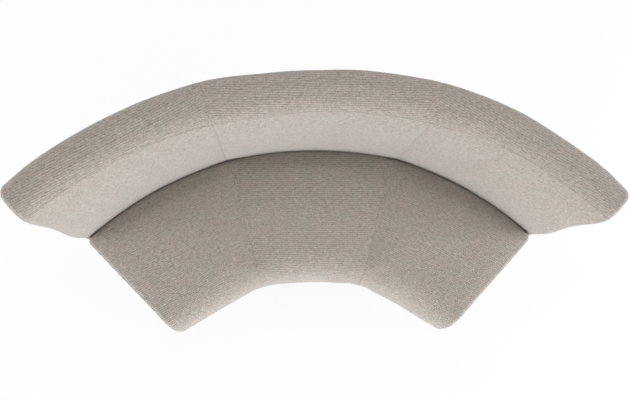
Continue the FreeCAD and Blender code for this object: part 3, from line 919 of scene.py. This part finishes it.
# Finishes of what the cloth doesn't replace, by slot: light and dark colour, scale and stretch of the grain,
# roughness, and 1 for a metal
EVEN = (1, 1, 1)
FINISHES = {
    "webbing": ((0.05, 0.05, 0.05), (0.02, 0.02, 0.02), 300, EVEN, 0.8, 0),
    "timber": ((0.62, 0.45, 0.28), (0.46, 0.31, 0.18), 14, (1, 9, 9), 0.6, 0),
    "plywood": ((0.72, 0.56, 0.37), (0.58, 0.42, 0.26), 12, (1, 1, 16), 0.6, 0),
    "zinc_steel": ((0.66, 0.67, 0.69), (0.5, 0.51, 0.53), 60, EVEN, 0.35, 1),
    "dust_cloth": ((0.03, 0.03, 0.03), (0.012, 0.012, 0.012), 260, EVEN, 0.9, 0),
    "leg_steel": ((0.022, 0.022, 0.024), (0.01, 0.01, 0.011), 900, EVEN, 0.55, 0),
    "foot_steel": ((0.44, 0.45, 0.47), (0.32, 0.33, 0.35), 90, EVEN, 0.42, 1),
}
GRAIN_DETAIL = 5
GRAIN_FINENESS = 0.6
ROUGHNESS_DRIFT = 0.2
GRAIN_STRENGTH = 0.2
grain_relief = 0.3 * MM


def finish_material(name, light, dark, scale, stretch, roughness, metallic):
    """A surface whose colour and roughness drift a little with a stretched noise."""
    nodes = Nodes(name)
    place = nodes.add("ShaderNodeTexCoord").outputs["Object"]
    grain = nodes.noise(nodes.stretched(place, stretch), scale, GRAIN_DETAIL, GRAIN_FINENESS)
    uneven = nodes.math("MULTIPLY_ADD", grain, ROUGHNESS_DRIFT, roughness - ROUGHNESS_DRIFT / 2)
    nodes.join(nodes.mix(grain, dark, light), nodes.shader.inputs["Base Color"])
    nodes.join(uneven, nodes.shader.inputs["Roughness"])
    nodes.join(nodes.bump(grain, GRAIN_STRENGTH, grain_relief), nodes.shader.inputs["Normal"])
    nodes.shader.inputs["Metallic"].default_value = metallic
    return nodes.material


def dress(pieces):
    """The cloth on the cushions, and a finish on every node of the frame that stays in view."""
    seat_cloth = cloth_material("seat_cloth", *SEAT_COLOURS)
    back_cloth = cloth_material("back_cloth", *BACK_COLOURS)
    for kind, piece in pieces:
        piece.data.materials.append(seat_cloth if kind is SEAT else back_cloth)
    finishes = {slot: finish_material(slot, *finish) for slot, finish in FINISHES.items()}
    slots = {part["node"]: part["material_slot"] for part in frame["record"]["subparts"]}
    for node, thing in frame["nodes"].items():
        if slots[node] in finishes:
            thing.data.materials.clear()
            thing.data.materials.append(finishes[slots[node]])


# Floor, light and camera
floor_size = 30
FLOOR_GREY = 0.8
FLOOR_ROUGHNESS = 0.9
floor_glow_share = 0.92
WORLD_STRENGTH = 0.06
light_target = (0, 0, 0.4)

# Each lamp: its place, its width and height, and its power in watts
LIGHTS = {
    "front": ((0, -3.5, 0.9), (5, 1.6), 162),
    "back": ((0, 3.0, 2.6), (4, 1.6), 24),
    "above": ((0, 1.7, 3.5), (4, 1.6), 53),
    "left": ((-3.5, -0.3, 1.4), (1.6, 3), 80),
    "right": ((3.5, -0.3, 1.4), (1.6, 3), 112),
}

# The photo's camera, fitted to the outline of the bench. Its sensor is in millimetres
camera_place = (-0.2109, 0.0295, 2.533)
camera_pitch = -0.0043
camera_roll = 0.0989
camera_yaw = -0.0013
PHOTO_WIDTH_PIXELS = 631
FOCAL_PIXELS = 602.1
SENSOR_WIDTH = 36
nearest_in_view = 0.05
farthest_in_view = 100


def seen_rays(nodes):
    """The rays that show a background: those of the camera, of reflections and through clear things."""
    ray = nodes.add("ShaderNodeLightPath")
    reflected = nodes.math("MAXIMUM", ray.outputs["Is Glossy Ray"], ray.outputs["Is Transmission Ray"])
    return nodes.math("MAXIMUM", ray.outputs["Is Camera Ray"], reflected)


def floor():
    """A plain pale floor, which glows for the rays that show a background and keeps a soft shadow."""
    bpy.ops.mesh.primitive_plane_add(size=floor_size, location=(0, 0, 0))
    thing = bpy.context.object
    thing.name = "floor"
    nodes = Nodes("floor")
    nodes.shader.inputs["Base Color"].default_value = (FLOOR_GREY, FLOOR_GREY, FLOOR_GREY, 1)
    nodes.shader.inputs["Roughness"].default_value = FLOOR_ROUGHNESS
    glow = nodes.add("ShaderNodeEmission")
    mix = nodes.add("ShaderNodeMixShader")
    nodes.join(nodes.math("MULTIPLY", seen_rays(nodes), floor_glow_share), mix.inputs[0])
    nodes.join(nodes.shader.outputs[0], mix.inputs[1])
    nodes.join(glow.outputs[0], mix.inputs[2])
    nodes.join(mix.outputs[0], nodes.tree.nodes["Material Output"].inputs["Surface"])
    thing.data.materials.append(nodes.material)


def area_light(name, place, size, power):
    """A soft white lamp that faces the bench."""
    data = bpy.data.lights.new(name, "AREA")
    data.shape = "RECTANGLE"
    data.size, data.size_y = size
    data.energy = power
    lamp = bpy.data.objects.new(name, data)
    lamp.location = place
    lamp.rotation_mode = "QUATERNION"
    lamp.rotation_quaternion = (Vector(light_target) - Vector(place)).to_track_quat("-Z", "Y")
    bpy.context.scene.collection.objects.link(lamp)


def light():
    """The lamps, and a world that is white as a background and faint as a light."""
    world = bpy.data.worlds.new("studio")
    bpy.context.scene.world = world
    nodes = Nodes("studio", world)
    nodes.shader.inputs["Color"].default_value = (1, 1, 1, 1)
    strength = nodes.math("MULTIPLY_ADD", seen_rays(nodes), 1 - WORLD_STRENGTH, WORLD_STRENGTH)
    nodes.join(strength, nodes.shader.inputs["Strength"])
    for name, (place, size, power) in LIGHTS.items():
        area_light(name, place, size, power)


def camera():
    """The camera of the photo."""
    data = bpy.data.cameras.new("camera")
    data.sensor_width = SENSOR_WIDTH
    data.lens = FOCAL_PIXELS / PHOTO_WIDTH_PIXELS * SENSOR_WIDTH
    data.clip_start = nearest_in_view
    data.clip_end = farthest_in_view
    thing = bpy.data.objects.new("camera", data)
    bpy.context.scene.collection.objects.link(thing)
    world_to_camera = (Matrix.Rotation(camera_pitch, 3, "X") @ Matrix.Rotation(camera_roll, 3, "Y")
                       @ Matrix.Rotation(camera_yaw, 3, "Z"))
    thing.matrix_world = Matrix.Translation(camera_place) @ world_to_camera.transposed().to_4x4()
    bpy.context.scene.camera = thing


dress(upholster())
floor()
light()
camera()
bpy.context.scene.view_settings.view_transform = "Standard"
